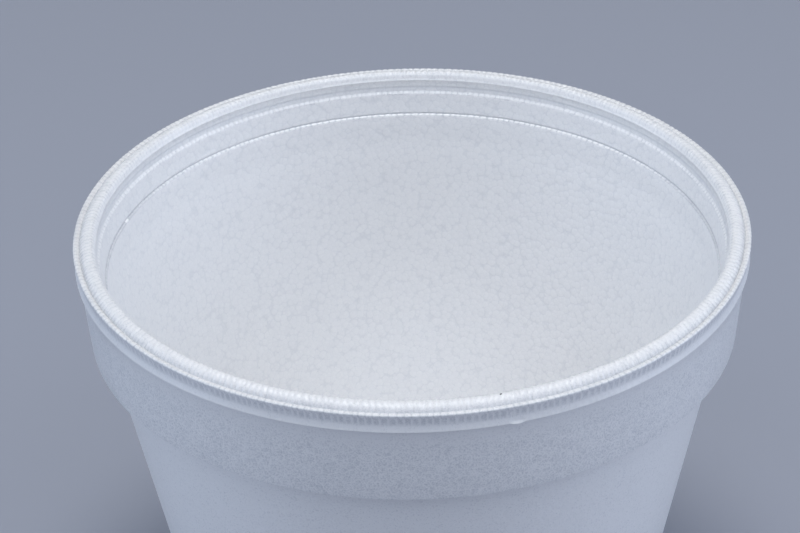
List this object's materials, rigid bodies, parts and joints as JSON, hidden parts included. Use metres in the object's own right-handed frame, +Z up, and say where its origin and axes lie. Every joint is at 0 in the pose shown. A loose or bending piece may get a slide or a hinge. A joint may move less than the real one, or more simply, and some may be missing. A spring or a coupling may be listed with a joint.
{
  "type": "foam cup",
  "caption": "Squat round foam cup, open at the top, with a lid bead, a stacking collar and a recessed foot.",
  "frame": {"origin": "on the cup's axis at the plane of the foot ring it stands on", "axes": "+Z up along the cup's axis, from the foot to the open mouth"},
  "size_m": [0.104, 0.104, 0.078],
  "materials": {
    "foam": "matte white bead foam"
  },
  "bodies": {
    "root": {"foam_cup": "foam"}
  },
  "joints": []
}
